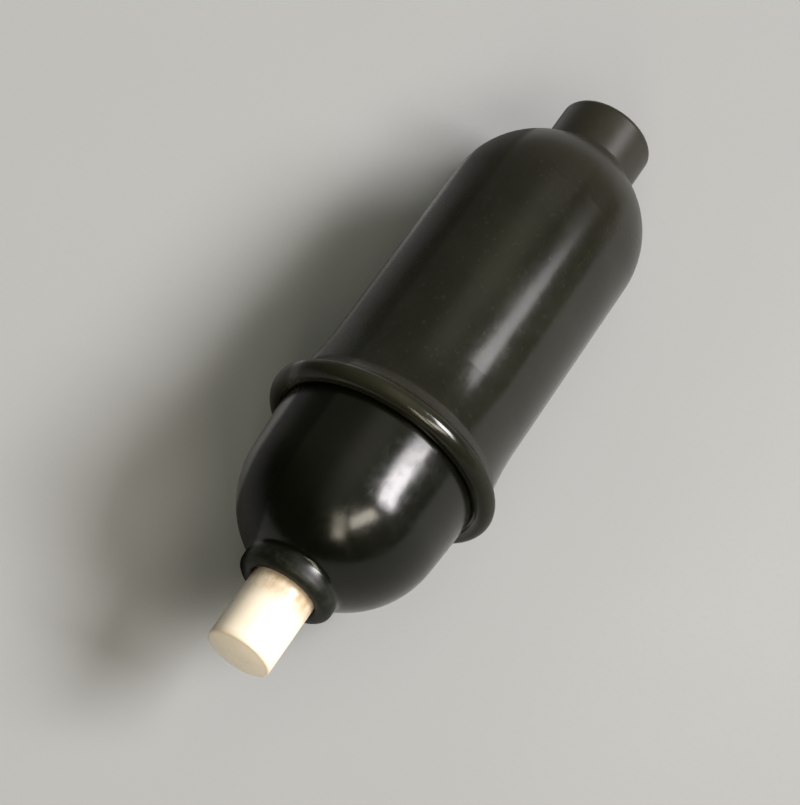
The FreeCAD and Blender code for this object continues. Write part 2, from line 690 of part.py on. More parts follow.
def make_spring():
    """Coil spring between the well's floor and the disc, one unbroken wire."""
    radius = value("spring_radius")
    wire = value("spring_wire")
    turns = round(value("spring_turns"))
    foot = value("base_top - well_depth + spring_seat") + wire / 2
    top = value("disc_level - spring_seat") - wire / 2
    rise = (top - foot) / (2 * math.pi * turns)
    quarter = math.pi / 2
    edges = []
    for i in range(4 * turns):
        here = helix_point(i * quarter, radius, rise, foot)
        there = helix_point((i + 1) * quarter, radius, rise, foot)
        edges += biarc(*here, *there)
    start, heading = helix_point(0, radius, rise, foot)
    section = Part.Wire(Part.Circle(start, heading, wire / 2).toShape())
    solid = Part.Wire(edges).makePipeShell([section], True, False)
    length = sum(edge.Length for edge in edges)
    print(f"spring: {turns} turns, gap {rise * 2 * math.pi - wire:.2f} mm between turns, "
          f"volume {solid.Volume:.2f} against {math.pi * wire * wire / 4 * length:.2f}")
    spring = doc.addObject("Part::Feature", "return_spring")
    spring.Shape = solid
    return lay(spring, "return_spring")


def check_model():
    """Stops the build at any failed object or bad shape."""
    doc.recompute()
    for thing in doc.Objects:
        if "Invalid" in thing.State or "Error" in thing.State:
            raise RuntimeError(f"{thing.Name} failed: {thing.getStatusString()}")
    for piece in pieces:
        if piece.Shape.isNull() or not piece.Shape.isValid():
            raise RuntimeError(f"{piece.Label} has no valid shape")


def write_parts():
    os.makedirs("parts", exist_ok=True)
    for piece in pieces:
        piece.Shape.exportStep(f"parts/{piece.Label}.step")
        print(f"{piece.Label}: {len(piece.Shape.Solids)} solid(s), {piece.Shape.Volume:.1f} mm3")


fill_sheet()
make_handle()
make_cap()
make_button()
make_disc()
make_disc_fixing()
make_spring()
make_base()
make_strip("right_contact_strip", "1")
make_strip("left_contact_strip", "-1")
make_point("right_contact_point", "1")
make_point("left_contact_point", "-1")
make_fasteners()
check_model()
write_parts()
print(f"lies {value('lay_angle'):.3f} degrees off level, axis {value('lay_height'):.3f} mm up at the bead,"
      f" shifted {value('lay_shift'):.3f} mm")
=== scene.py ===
"""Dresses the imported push-button release: its turned and threaded pieces, finishes, light and camera.

The file is laid out as an add-on and is run as a script. Lengths are in metres. Pieces that are made here are
drawn upright on the release's axis, where z = 0 is the bead's middle plane and the button points up, and are
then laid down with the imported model.
"""

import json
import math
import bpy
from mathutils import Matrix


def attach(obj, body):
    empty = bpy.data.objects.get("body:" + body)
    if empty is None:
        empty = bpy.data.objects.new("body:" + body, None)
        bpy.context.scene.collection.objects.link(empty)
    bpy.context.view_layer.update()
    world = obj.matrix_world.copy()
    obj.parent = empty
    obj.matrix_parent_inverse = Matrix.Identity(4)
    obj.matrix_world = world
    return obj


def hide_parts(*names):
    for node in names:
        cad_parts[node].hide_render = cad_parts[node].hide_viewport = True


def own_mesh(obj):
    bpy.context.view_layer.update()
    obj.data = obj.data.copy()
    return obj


bl_info = {
    "name": "Push-button release",
    "version": (1, 0, 0),
    "blender": (4, 5, 0),
    "location": "3D View > Sidebar > Release",
    "description": "Builds the visible pieces and finishes of a hand-held push-button release",
    "category": "Object",
}

from collections import namedtuple

import bpy
from bpy.props import FloatProperty, FloatVectorProperty, IntProperty, PointerProperty
from mathutils import Matrix, Vector

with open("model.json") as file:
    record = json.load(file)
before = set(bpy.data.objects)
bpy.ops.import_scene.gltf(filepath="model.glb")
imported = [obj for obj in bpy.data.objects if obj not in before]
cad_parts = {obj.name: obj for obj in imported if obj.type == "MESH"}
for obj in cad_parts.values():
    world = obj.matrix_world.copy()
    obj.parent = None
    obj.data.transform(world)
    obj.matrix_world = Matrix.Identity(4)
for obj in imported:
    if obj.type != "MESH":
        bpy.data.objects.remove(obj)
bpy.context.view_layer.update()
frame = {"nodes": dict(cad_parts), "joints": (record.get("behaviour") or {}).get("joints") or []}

JOINTS = {joint["name"]: joint for joint in frame["joints"]}
UP = Vector(JOINTS["cap_lift"]["axis"]).normalized()
MIDDLE = Vector(JOINTS["cap_turn"]["pos_m"])
ACROSS = Vector((1, 0, 0))
LAID = Matrix.Translation(MIDDLE) @ Matrix((ACROSS, UP.cross(ACROSS), UP)).transposed().to_4x4()
FULL_TURN = 2 * math.pi


# Settings


def length(name, millimetres, description):
    """A length setting, given in millimetres and kept in metres."""
    return FloatProperty(name=name, description=description, default=millimetres / 1000, min=0, precision=5,
                         unit="LENGTH")


def colour(name, value, description):
    return FloatVectorProperty(name=name, description=description, default=value, size=3, min=0, max=1,
                               subtype="COLOR")


def share(name, value, description):
    return FloatProperty(name=name, description=description, default=value, min=0, max=1, subtype="FACTOR")


def brightness(name, value, description):
    return FloatProperty(name=name, description=description, default=value, min=0)


def direction(name, degrees, description):
    return FloatProperty(name=name, description=description, default=math.radians(degrees), subtype="ANGLE")


class ReleaseSizes(bpy.types.PropertyGroup):
    """Sizes of the pieces that are made here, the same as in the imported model."""

    cap_radius: length("Cap radius", 12.75, "Outside of the cap's dome")
    cap_foot: length("Cap foot", 13.25, "Outside of the cap at its seat")
    cap_seat: length("Cap seat", 0.9, "Seat of the cap above the bead's middle plane")
    cap_side: length("Cap side", 7.2, "Tapered side of the cap above its seat")
    cap_edge: length("Cap edge", 0.4, "Rounded lower edge of the cap")
    dome_inside: length("Dome inside", 10.4, "Radius of the dome's hollow")
    cavity_radius: length("Cavity radius", 9.2, "Hollow of the screwed spigot")
    lip_radius: length("Lip radius", 6.15, "Outside of the button guide's lip")
    lip_reach: length("Lip reach", 13.8, "From the dome's centre to the face of the lip")
    lip_fillet: length("Lip fillet", 0.8, "Hollow round where the lip leaves the dome")
    lip_edge: length("Lip edge", 1.1, "Rounded outer edge of the lip")
    mouth_edge: length("Mouth edge", 0.7, "Rounded mouth of the button guide")
    guide_bore: length("Guide bore", 4.16, "Bore that the button runs in")
    guide_radius: length("Guide radius", 6.3, "Outside of the guide inside the cap")
    guide_end: length("Guide end", 7.0, "Level where the guide stops the button's flange")
    spigot_radius: length("Spigot radius", 10.92, "Crest of the cap's thread")
    spigot_end: length("Spigot end", 4.75, "Depth of the spigot's end below the bead's middle plane")
    spigot_chamfer: length("Spigot chamfer", 0.4, "Lead on the spigot's end")
    socket_radius: length("Socket radius", 11.0, "Socket in the handle that takes the spigot")
    thread_pitch: length("Thread pitch", 1.5, "Advance of the cap per turn")
    thread_depth: length("Thread depth", 0.6, "Depth of the moulded thread")
    screw_pitch: length("Screw pitch", 0.4, "Pitch of the small screws")
    slot_width: length("Slot width", 0.4, "Screwdriver slot")
    slot_depth: length("Slot depth", 0.5, "Depth of that slot")
    spring_radius: length("Spring radius", 2.5, "Middle radius of the return spring's coil")
    spring_wire: length("Spring wire", 0.5, "Diameter of the spring wire")
    spring_turns: IntProperty(name="Spring turns", description="Turns of the coil", default=7, min=3)


class ReleaseColours(bpy.types.PropertyGroup):
    """Base colours and gloss of the finishes."""

    handle: colour("Handle", (0.0084, 0.0086, 0.0053), "Dark moulding of the handle")
    handle_worn: colour("Worn edge", (0.017, 0.0165, 0.0095), "Rubbed edge of the bead")
    cap: colour("Cap", (0.0016, 0.0020, 0.0006), "Polished dark moulding of the cap")
    button: colour("Button", (0.78, 0.70, 0.57), "Cream moulding of the button")
    grime: colour("Grime", (0.33, 0.20, 0.085), "Handling marks near the guide and on the button's rim")
    base: colour("Base", (0.10, 0.045, 0.022), "Brown moulding of the contact base")
    brass: colour("Brass", (0.72, 0.50, 0.20), "Strips, disc and wire washers")
    turned_brass: colour("Turned brass", (0.78, 0.57, 0.25), "Inserts and small screws")
    silver: colour("Silver", (0.86, 0.84, 0.79), "Contact points")
    steel: colour("Steel", (0.60, 0.59, 0.56), "Plated screws and their washers")
    spring: colour("Spring", (0.50, 0.49, 0.47), "Drawn spring wire")
    floor: colour("Floor", (0.340, 0.347, 0.351), "Pale table")
    gloss: share("Handle roughness", 0.15, "Roughness of the handle's worn gloss")
    polish: share("Cap roughness", 0.17, "Roughness of the polished cap")


class ReleaseStage(bpy.types.PropertyGroup):
    """Camera and lights, placed round the release."""

    focal_length: FloatProperty(name="Focal length", description="Camera focal length", default=111.8, min=1,
                                unit="CAMERA")
    azimuth: direction("Camera azimuth", 31.12, "Direction of view about the upright")
    elevation: direction("Camera elevation", 61.44, "Angle of view above the floor")
    window: brightness("Window", 34.0, "Brightness of the window light")
    panes: brightness("Panes", 13.8, "Brightness of the two warm lights beside it")
    ceiling: brightness("Ceiling", 0.41, "Brightness overhead")
    walls: brightness("Walls", 0.23, "Brightness of the walls")


# Materials


PHENOLIC_IOR = 1.42
CREVICE_DUST = (0.020, 0.018, 0.013)
GROOVE_DUST = (0.024, 0.026, 0.016)
REAR_DUST = (0.019, 0.016, 0.011)
LIP_DUST = (0.016, 0.018, 0.011)
WOOD_FLOUR = (0.26, 0.15, 0.075)


class Value:
    """A number from a node. Arithmetic on it adds Math nodes."""

    def __init__(self, nodes, socket):
        self.nodes = nodes
        self.socket = socket

    def math(self, operation, *numbers):
        node = self.nodes.add("ShaderNodeMath", {"operation": operation}, dict(enumerate(numbers)))
        return Value(self.nodes, node.outputs[0])

    def __add__(self, other):
        return self.math("ADD", self, other)

    __radd__ = __add__

    def __sub__(self, other):
        return self.math("SUBTRACT", self, other)

    def __rsub__(self, other):
        return self.math("SUBTRACT", other, self)

    def __mul__(self, other):
        return self.math("MULTIPLY", self, other)

    __rmul__ = __mul__

    def __pow__(self, other):
        return self.math("POWER", self, other)

    def at_most(self, other):
        return self.math("MINIMUM", self, other)

    def sine(self):
        return self.math("SINE", self)

    def rise(self, low, high):
        """0 below low, 1 above high, with a smooth step between; it falls where low is over high."""
        ends = {"To Min": 0.0, "To Max": 1.0}
        if low > high:
            low, high = high, low
            ends = {"To Min": 1.0, "To Max": 0.0}
        node = self.nodes.add("ShaderNodeMapRange", {"interpolation_type": "SMOOTHSTEP"},
                              {"Value": self, "From Min": low, "From Max": high, **ends})
        return Value(self.nodes, node.outputs["Result"])

    def band(self, low, high, edge):
        """1 between low and high, fading out over edge on both sides."""
        return self.rise(low - edge, low) * self.rise(high + edge, high)


class Nodes:
    """Adds nodes to one tree."""

    def __init__(self, tree):
        self.tree = tree

    def add(self, kind, settings=None, inputs=None):
        """Adds a node of a type, applies its settings and sets or links its inputs."""
        node = self.tree.nodes.new(kind)
        for name, value in (settings or {}).items():
            setattr(node, name, value)
        for name, value in (inputs or {}).items():
            self.feed(node.inputs[name], value)
        return node

    def feed(self, socket, value):
        """Links a value or socket to an input, or sets the input to a number, colour or vector."""
        source = value.socket if isinstance(value, Value) else value
        if isinstance(source, bpy.types.NodeSocket):
            self.tree.links.new(source, socket)
        elif isinstance(source, (int, float)) or len(source) == len(socket.default_value):
            socket.default_value = source
        else:
            socket.default_value = (*source, 1)

    def split(self, vector):
        """The three numbers of a vector."""
        node = self.add("ShaderNodeSeparateXYZ", {}, {0: vector})
        return [Value(self, socket) for socket in node.outputs]


class Finish(Nodes):
    """A procedural material, built node by node round its main Principled shader."""

    def __init__(self, name, upright=False):
        self.material = bpy.data.materials.new(name)
        self.material.use_nodes = True
        super().__init__(self.material.node_tree)
        self.tree.nodes.clear()
        self.output = self.tree.nodes.new("ShaderNodeOutputMaterial")
        self.shader = self.tree.nodes.new("ShaderNodeBsdfPrincipled")
        self.tree.links.new(self.shader.outputs[0], self.output.inputs["Surface"])
        self.where = self.add("ShaderNodeTexCoord").outputs["Object"]
        if not upright:
            self.where = self.add("ShaderNodeMapping", {"vector_type": "TEXTURE"},
                                  {"Vector": self.where, "Location": LAID.to_translation(),
                                   "Rotation": LAID.to_euler()}).outputs[0]
        self.x, self.y, self.z = self.split(self.where)

    def radius(self):
        """Distance from the release's axis."""
        return (self.x * self.x + self.y * self.y) ** 0.5

    def spots(self, size, stretch, shift):
        """Coordinates in which size metres, times stretch along each axis, is one unit."""
        scale = [1 / (size * factor) for factor in stretch]
        return self.add("ShaderNodeMapping", {"vector_type": "POINT"},
                        {"Vector": self.where, "Location": (shift, shift, shift), "Scale": scale}).outputs[0]

    def noise(self, size, detail, roughness, stretch=(1, 1, 1), shift=0.0):
        """Noise from 0 to 1 whose blotches are about size metres across, times stretch along each axis."""
        node = self.add("ShaderNodeTexNoise", {}, {"Vector": self.spots(size, stretch, shift), "Scale": 1.0,
                                                   "Detail": detail, "Roughness": roughness})
        return Value(self, node.outputs[0])

    def cells(self, size, shift):
        """Distance to the nearest of scattered points about size metres apart, as a share of size."""
        spots = self.spots(size, (1, 1, 1), shift)
        node = self.add("ShaderNodeTexVoronoi", {}, {"Vector": spots, "Scale": 1.0})
        return Value(self, node.outputs["Distance"])

    def mix(self, share_of_second, first, second):
        """A colour between two, each a colour or a colour output."""
        node = self.add("ShaderNodeMix", {"data_type": "RGBA"}, {0: share_of_second, 6: first, 7: second})
        return node.outputs[2]

    def bumps(self, layers):
        """Bump nodes on top of each other, each a (height in metres, pattern) pair."""
        normal = None
        for height, pattern in layers:
            inputs = {"Height": pattern, "Distance": height, "Strength": 1.0}
            if normal is not None:
                inputs["Normal"] = normal
            normal = self.add("ShaderNodeBump", {}, inputs).outputs[0]
        return normal

    def finish(self, base, roughness, layers, dull_film_and_painted_shade=None, **constants):
        """Feeds the shader, lays a dull, unreflecting coat over a share of it and returns the material; the
        coat is a real dull film in places and painted shade in others.
        """
        self.feed(self.shader.inputs["Base Color"], base)
        self.feed(self.shader.inputs["Roughness"], roughness)
        self.feed(self.shader.inputs["Normal"], self.bumps(layers))
        for name, value in constants.items():
            self.feed(self.shader.inputs[name.replace("_", " ")], value)
        if dull_film_and_painted_shade is not None:
            dull = self.add("ShaderNodeBsdfPrincipled", {},
                            {"Base Color": base, "Roughness": 1.0, "Specular IOR Level": 0.0})
            both = self.add("ShaderNodeMixShader", {},
                            {0: dull_film_and_painted_shade, 1: self.shader.outputs[0], 2: dull.outputs[0]})
            self.tree.links.new(both.outputs[0], self.output.inputs["Surface"])
        return self.material


def shaded(shade, factor):
    """A colour made lighter or darker by a factor."""
    return [channel * factor for channel in shade]


def handle_moulding(colours):
    """Old dark phenolic: worn gloss, cloudy under the surface, rubbed olive on the bead, dull by the neck;
    painted shade takes the reflections off its left side, rim and bead end, and dims the window highlight's
    far end.
    """
    skin = Finish("handle_moulding")
    cloud = skin.noise(0.009, 3, 0.6)
    fleck = skin.noise(0.0006, 3, 0.6, shift=3)
    pebble = skin.noise(0.0012, 1, 0.4, stretch=(1, 1, 1.5), shift=7)
    waves = skin.noise(0.006, 1, 0.4, stretch=(1, 1, 2.4), shift=11)
    scuffs = skin.noise(0.0004, 3, 0.6, stretch=(1, 1, 14), shift=5).rise(0.60, 0.72)
    radius = skin.radius()
    bead = radius.rise(0.0136, 0.0145)
    bead_edge = radius.rise(0.01475, 0.0153) * skin.z.band(-0.0012, 0.0012, 0.0006)
    bead_front = bead * skin.z.rise(-0.0014, -0.0002) * skin.x.rise(0.0080, 0.0050)
    # Painted shade: a matte coat takes the reflections off the bead's right end.
    painted_shade_bead_end = bead * skin.x.rise(0.0080, 0.0105)
    groove = radius.band(0.0120, 0.0138, 0.0004) * skin.z.band(0.0002, 0.0014, 0.0004)
    crevice = skin.z.band(-0.0026, -0.0014, 0.0006) * radius.rise(0.0150, 0.0140)
    rear = skin.z.rise(-0.028, -0.050)
    # Painted shade: the side away from the window and its outermost rim get a matte coat that takes their
    # reflections off.
    painted_shade_side = skin.x.band(-0.0104, -0.0060, 0.0010)
    painted_shade_rim = skin.x.rise(-0.0118, -0.0125)
    # A dull handled patch on the window highlight's path, which also paints the far end of that highlight
    # dimmer.
    handled_and_dimmed_highlight = skin.x.band(0.0050, 0.0086, 0.0014)
    handled_and_dimmed_highlight = handled_and_dimmed_highlight * skin.z.rise(-0.021, -0.039) * skin.z.rise(-0.044, -0.038)
    base = skin.mix(cloud.rise(0.35, 0.7), shaded(colours.handle, 0.82), shaded(colours.handle, 1.18))
    base = skin.mix(fleck.rise(0.60, 0.70) * 0.5, base, shaded(colours.handle, 2.2))
    base = skin.mix(crevice * 0.5, base, CREVICE_DUST)
    base = skin.mix(groove * 0.7, base, GROOVE_DUST)
    base = skin.mix(bead_front * 0.45, base, colours.handle_worn)
    base = skin.mix(bead_edge * cloud.rise(0.2, 0.6) * 0.4, base, colours.handle_worn)
    base = skin.mix(rear * (0.35 + 0.4 * cloud), base, REAR_DUST)
    wear = cloud.rise(0.3, 0.75) * 0.03 + fleck.rise(0.45, 0.7) * 0.02 + scuffs * 0.03
    wear = wear + rear * 0.20 + painted_shade_side * 0.10 + pebble.rise(0.45, 0.65) * 0.015 + crevice * 0.25
    dull_film_and_painted_shade = painted_shade_side * 0.45 + handled_and_dimmed_highlight * 0.85 + painted_shade_bead_end * 0.55 + painted_shade_rim * (0.8 - bead * 0.3)
    layers = [(0.000010, waves), (0.000006, pebble), (0.000001, scuffs)]
    return skin.finish(base, wear + colours.gloss, layers, dull_film_and_painted_shade, IOR=PHENOLIC_IOR)


def cap_moulding(colours):
    """The same phenolic, polished: near black, with hairline scratches, a little dust by the lip, and painted
    shade on its left side.
    """
    skin = Finish("cap_moulding", upright=True)
    cloud = skin.noise(0.008, 2, 0.5)
    haze = skin.noise(0.0022, 3, 0.6, shift=4)
    hair = skin.noise(0.00022, 2, 0.5, stretch=(1, 9, 9), shift=9).rise(0.62, 0.70)
    waves = skin.noise(0.0075, 1, 0.4, shift=2)
    prints = skin.noise(0.0016, 2, 0.5, shift=21)
    dust = skin.noise(0.0009, 3, 0.6, shift=13)
    # Painted shade: the side away from the window gets a matte coat that takes its reflections off.
    painted_shade_side = skin.x.band(-0.0096, -0.0054, 0.0009)
    lip = skin.z.rise(0.0195, 0.0206)
    thread = skin.z.rise(0.0009, 0.0005)
    base = skin.mix(cloud.rise(0.35, 0.7), shaded(colours.cap, 0.85), shaded(colours.cap, 1.3))
    base = skin.mix(lip * dust.rise(0.35, 0.7) * 0.5, base, LIP_DUST)
    wear = haze.rise(0.35, 0.8) * 0.05 + prints.rise(0.45, 0.7) * 0.05 + hair * 0.04
    wear = wear + lip * 0.26 + thread * 0.2 + painted_shade_side * 0.10
    dull_film_and_painted_shade = painted_shade_side * 0.55 + lip * 0.35
    layers = [(0.000012, waves), (0.000006, prints), (0.0000008, hair)]
    return skin.finish(base, wear + colours.polish, layers, dull_film_and_painted_shade, IOR=PHENOLIC_IOR)


def button_moulding(colours):
    """Aged cream moulding: yellowed, brown by the guide and on the face, which has fine turning rings."""
    skin = Finish("button_moulding")
    cloud = skin.noise(0.003, 3, 0.6)
    streak = skin.noise(0.0006, 3, 0.6, stretch=(1, 1, 8), shift=6)
    speck = skin.cells(0.0012, shift=2).rise(0.16, 0.08)
    radius = skin.radius()
    side = skin.z.rise(0.0312, 0.0305)
    by_guide = skin.z.rise(0.0260, 0.0224) * side
    face = skin.z.rise(0.0309, 0.0314)
    rim = radius.rise(0.0035, 0.0040) * skin.z.rise(0.0300, 0.0310)
    rings = (radius * 26000.0).sine() * face
    stain = by_guide * (0.35 + 0.65 * cloud.rise(0.3, 0.7)) * (0.7 + 0.3 * streak.rise(0.35, 0.65))
    stain = stain * 0.95 + face * 0.08 * cloud.rise(0.25, 0.75) + rim * 0.25 + speck * 0.15
    base = skin.mix(cloud.rise(0.3, 0.7) * 0.5, colours.button, shaded(colours.button, 0.93))
    base = skin.mix(stain.at_most(0.85), base, colours.grime)
    roughness = cloud * 0.10 + speck * 0.15 + face * 0.10 + 0.24
    layers = [(0.000006, cloud), (0.0000015, streak), (0.000001, rings)]
    return skin.finish(base, roughness, layers, IOR=1.56, Subsurface_Weight=0.15,
                       Subsurface_Radius=(1.0, 0.7, 0.4), Subsurface_Scale=0.0012)


def base_moulding(colours):
    """Brown phenolic with wood flour: mottled, with darker flow lines and a satin skin."""
    skin = Finish("base_moulding")
    flow = skin.noise(0.0035, 4, 0.65, stretch=(1.8, 1, 1))
    flour = skin.cells(0.0006, shift=5)
    grain = skin.noise(0.0003, 2, 0.5, shift=8)
    base = skin.mix(flow.rise(0.35, 0.68), shaded(colours.base, 0.6), shaded(colours.base, 1.35))
    base = skin.mix(flour.rise(0.22, 0.05) * 0.45, base, WOOD_FLOUR)
    roughness = flow * 0.12 + flour.rise(0.3, 0.0) * 0.1 + 0.36
    return skin.finish(base, roughness, [(0.000005, flow), (0.000003, grain)], IOR=1.58)


def metal(name, shade, dull, upright=False, tarnish=(0.22, 0.13, 0.05), stretch=(1, 1, 1), rub=0.35):
    """A worn metal: brushed grain, cloudy tarnish and small pits."""
    skin = Finish(name, upright)
    cloud = skin.noise(0.0024, 4, 0.6)
    grain = skin.noise(0.00012, 2, 0.5, stretch=stretch, shift=4)
    pits = skin.cells(0.0007, shift=9).rise(0.10, 0.05)
    base = skin.mix(cloud.rise(0.42, 0.78) * rub, shade, tarnish)
    base = skin.mix(pits * 0.6, base, shaded(tarnish, 0.5))
    roughness = cloud.rise(0.3, 0.8) * 0.18 + grain * 0.08 + pits * 0.2 + dull
    return skin.finish(base, roughness, [(0.0000015, grain), (0.000002, pits)], Metallic=1.0)


def screw_metal(name, shade, dull, tarnish):
    return metal(name, shade, dull, upright=True, tarnish=tarnish, stretch=(1, 1, 0.6))


def table_top(colours):
    """Pale painted table: nearly even, with a faint mottle, and painted shade towards the camera and near and
    left of the release.
    """
    skin = Finish("table_top", upright=True)
    cloud = skin.noise(0.05, 3, 0.6)
    grain = skin.noise(0.0006, 3, 0.6, shift=6)
    # Painted shade: the table darkens towards the camera, where the light falls off.
    painted_shade_front = (skin.x * 0.517 - skin.y * 0.856).rise(0.015, 0.075)
    # Painted shade on the table near the release and to its left.
    left = skin.x.rise(0.050, 0.018)
    base = skin.mix(cloud.rise(0.3, 0.7), shaded(colours.floor, 0.985), shaded(colours.floor, 1.015))
    base = skin.mix(grain.rise(0.35, 0.7) * 0.25, base, shaded(colours.floor, 0.93))
    base = skin.mix(painted_shade_front * 0.8, base, shaded(colours.floor, 0.88))
    base = skin.mix(left * 0.5, base, shaded(colours.floor, 0.86))
    return skin.finish(base, 0.62 + grain * 0.1, [(0.000008, grain)], IOR=1.45)


# Meshes


CAP_SEGMENTS = 192
SCREW_SEGMENTS = 40
PIECE_SHARP = math.radians(35)
SCREW_SHARP = math.radians(32)
ARC_STEP = 0.0004
ARC_WIDEST = math.radians(9)
NEAR = 1e-9

# The socket's ridge in section: place along the axis in pitches, and height as a share of the full one.
RIDGE = ((-0.36, -0.05), (-0.24, 0.45), (-0.13, 0.92), (0, 1.0), (0.13, 0.92), (0.24, 0.45), (0.36, -0.05))

Screw = namedtuple("Screw", "shank reach head head_height plain")
TERMINAL_SCREW = Screw(shank=0.0010, reach=0.0032, head=0.0016, head_height=0.0012, plain=0.0004)
BASE_SCREW = Screw(shank=0.0011, reach=0.0095, head=0.00175, head_height=0.0012, plain=0.0034)
DISC_SCREW = Screw(shank=0.0010, reach=0.0055, head=0.0016, head_height=0.0011, plain=0.0010)


def new_piece(name, points, faces, material, sharp=PIECE_SHARP):
    """A mesh object drawn upright and laid down with the release, smooth but for its sharp edges."""
    mesh = bpy.data.meshes.new(name)
    mesh.from_pydata(points, [], faces)
    mesh.validate()
    mesh.update()
    mesh.materials.append(material)
    mesh.shade_smooth()
    mesh.set_sharp_from_angle(angle=sharp)
    piece = bpy.data.objects.new(name, mesh)
    piece.matrix_world = LAID
    bpy.context.scene.collection.objects.link(piece)
    return piece


def hand_over(piece, body, nodes=()):
    """Puts a piece on the empty of the body that it rides on, and hides the imported nodes that it stands
    for.
    """
    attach(piece, body)
    if nodes:
        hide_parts(*nodes)


def arc_points(start, end, radius):
    """Points after start up to end on the shorter arc; a positive radius turns left, a negative one right."""
    start = Vector(start)
    end = Vector(end)
    chord = end - start
    reach = math.sqrt(max(radius * radius - chord.length_squared / 4, 0))
    across = Vector((-chord.y, chord.x)).normalized() * math.copysign(1, radius)
    centre = (start + end) / 2 + across * reach
    first = math.atan2(start.y - centre.y, start.x - centre.x)
    sweep = math.atan2(end.y - centre.y, end.x - centre.x) - first
    sweep = (sweep + math.pi) % FULL_TURN - math.pi
    count = max(2, math.ceil(abs(sweep) * abs(radius) / ARC_STEP), math.ceil(abs(sweep) / ARC_WIDEST))
    return [
        (centre.x + abs(radius) * math.cos(first + sweep * step / count),
         centre.y + abs(radius) * math.sin(first + sweep * step / count))
        for step in range(1, count + 1)
    ]


def profile(corners):
    """Points of a closed outline of (radius, height) corners, with an arc after each that has a radius."""
    points = []
    for corner, following in zip(corners, corners[1:] + corners[:1]):
        points.append(corner[:2])
        if len(corner) == 3:
            points += arc_points(corner[:2], following[:2], corner[2])[:-1]
    return points


def turned(points, segments, shape):
    """Vertices and faces of a closed profile turned about the axis.

    A profile point on the axis becomes one vertex. shape gives the radius at (radius, height, angle).
    """
    vertices = []
    rings = []
    for radius, height in points:
        if radius < NEAR:
            rings.append([len(vertices)])
            vertices.append((0, 0, height))
            continue
        rings.append(list(range(len(vertices), len(vertices) + segments)))
        for step in range(segments):
            angle = FULL_TURN * step / segments
            reach = shape(radius, height, angle)
            vertices.append((reach * math.cos(angle), reach * math.sin(angle), height))
    faces = []
    for one, other in zip(rings, rings[1:] + rings[:1]):
        if len(one) == 1 and len(other) == 1:
            continue
        for here in range(segments):
            there = (here + 1) % segments
            if len(one) == 1:
                faces.append((one[0], other[there], other[here]))
            elif len(other) == 1:
                faces.append((one[here], one[there], other[0]))
            else:
                faces.append((one[here], one[there], other[there], other[here]))
    return vertices, faces


def swept(sections):
    """A tube with closed ends through a list of cross-sections, each a list of the same number of points."""
    count = len(sections[0])
    last = (len(sections) - 1) * count
    vertices = [point for section in sections for point in section]
    faces = []
    for row in range(0, last, count):
        for here in range(count):
            there = (here + 1) % count
            faces.append((row + here, row + there, row + count + there, row + count + here))
    faces.append(tuple(reversed(range(count))))
    faces.append(tuple(range(last, last + count)))
    return vertices, faces


def smooth_step(value, low, high):
    """0 at low, 1 at high and smooth between."""
    share_up = min(max((value - low) / (high - low), 0), 1)
    return share_up * share_up * (3 - 2 * share_up)


def thread_groove(height, angle, pitch):
    """How deep a right-hand thread's groove is here, from 0 on its flat crest to 1 at its flat root."""
    steepness = 0.95
    phase = FULL_TURN * (height / pitch) - angle
    return min(max(0.5 + steepness * math.cos(phase), 0), 1)


def cap_profile(sizes):
    """Outline of the cap with rows close enough for its thread."""
    root = sizes.lip_radius + sizes.lip_fillet
    dome_level = sizes.cap_seat + sizes.cap_side
    rise = math.sqrt((sizes.cap_radius + sizes.lip_fillet) ** 2 - root * root)
    near = sizes.cap_radius / (sizes.cap_radius + sizes.lip_fillet)
    lip_level = dome_level + sizes.lip_reach
    side = sizes.cap_side - sizes.cap_edge
    lean = math.acos(sizes.cap_radius / math.hypot(sizes.cap_foot, side)) - math.atan(side / sizes.cap_foot)
    guide_root = math.sqrt(sizes.dome_inside ** 2 - sizes.guide_radius ** 2)
    cavity_root = math.sqrt(sizes.dome_inside ** 2 - sizes.cavity_radius ** 2)
    foot = -sizes.spigot_end
    rows = 62
    first = foot + sizes.spigot_chamfer
    thread_rows = [
        (sizes.spigot_radius, first + (sizes.cap_seat - first) * row / rows)
        for row in range(1, rows)
    ]
    start = profile([
        (sizes.cavity_radius, foot),
        (sizes.spigot_radius - sizes.spigot_chamfer, foot),
        (sizes.spigot_radius, first),
    ])
    rest = profile([
        (sizes.spigot_radius, sizes.cap_seat),
        (sizes.cap_foot - sizes.cap_edge, sizes.cap_seat, sizes.cap_edge),
        (sizes.cap_foot, sizes.cap_seat + sizes.cap_edge),
        (sizes.cap_radius * math.cos(lean), dome_level + sizes.cap_radius * math.sin(lean), sizes.cap_radius),
        (root * near, dome_level + rise * near, -sizes.lip_fillet),
        (sizes.lip_radius, dome_level + rise),
        (sizes.lip_radius, lip_level - sizes.lip_edge, sizes.lip_edge),
        (sizes.lip_radius - sizes.lip_edge, lip_level),
        (sizes.guide_bore + sizes.mouth_edge, lip_level, sizes.mouth_edge),
        (sizes.guide_bore, lip_level - sizes.mouth_edge),
        (sizes.guide_bore, sizes.guide_end),
        (sizes.guide_radius, sizes.guide_end),
        (sizes.guide_radius, dome_level + guide_root, -sizes.dome_inside),
        (sizes.cavity_radius, dome_level + cavity_root),
    ])
    return start + thread_rows + rest


def cap_mesh(sizes):
    """The cap with its moulded thread, which fades out at the spigot's end and below the seat."""
    slack = 1e-6
    lead = 0.0004
    run_out = 0.0001
    low = -sizes.spigot_end + sizes.spigot_chamfer

    def shape(radius, height, angle):
        if radius < sizes.spigot_radius - slack or height > sizes.cap_seat - slack:
            return radius
        fade = smooth_step(height, low - run_out, low + lead)
        fade *= smooth_step(-height, -sizes.cap_seat + run_out, 0)
        return radius - sizes.thread_depth * fade * thread_groove(height, angle, sizes.thread_pitch)

    return turned(cap_profile(sizes), CAP_SEGMENTS, shape)


